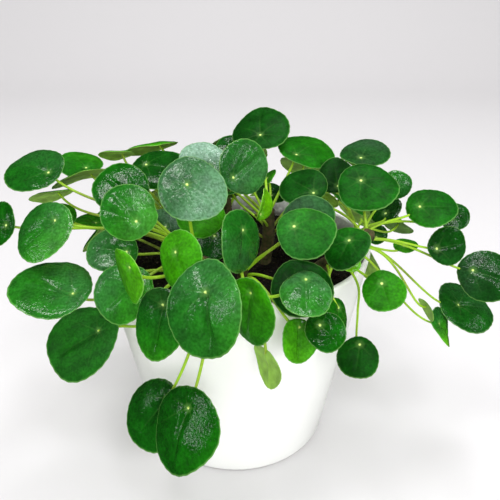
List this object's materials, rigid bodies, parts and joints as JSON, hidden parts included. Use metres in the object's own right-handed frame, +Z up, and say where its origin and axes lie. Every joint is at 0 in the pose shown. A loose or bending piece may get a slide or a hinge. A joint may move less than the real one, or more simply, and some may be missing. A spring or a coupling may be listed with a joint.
{
  "type": "potted pilea plant",
  "caption": "Potted pilea with round, glossy, shield-shaped leaves on long thin petioles, spilling over the lip of a plain white tapered pot filled with dark soil.",
  "frame": {"origin": "centre of the pot's flat foot, on the surface that the pot stands on", "axes": "+Z up along the pot's axis, -Y towards the front from which the plant is usually seen, +X to the right of that view"},
  "size_m": [0.3125, 0.2655, 0.2166],
  "materials": {
    "pot": "satin",
    "soil": "matte",
    "foliage": "gloss"
  },
  "bodies": {
    "root": {"pot": "pot", "soil": "soil", "shoot_left": "foliage", "shoot_front_left": "foliage", "shoot_front": "foliage", "shoot_middle": "foliage", "shoot_right": "foliage", "shoot_back_left": "foliage", "shoot_back": "foliage", "shoot_back_right": "foliage"}
  },
  "joints": []
}
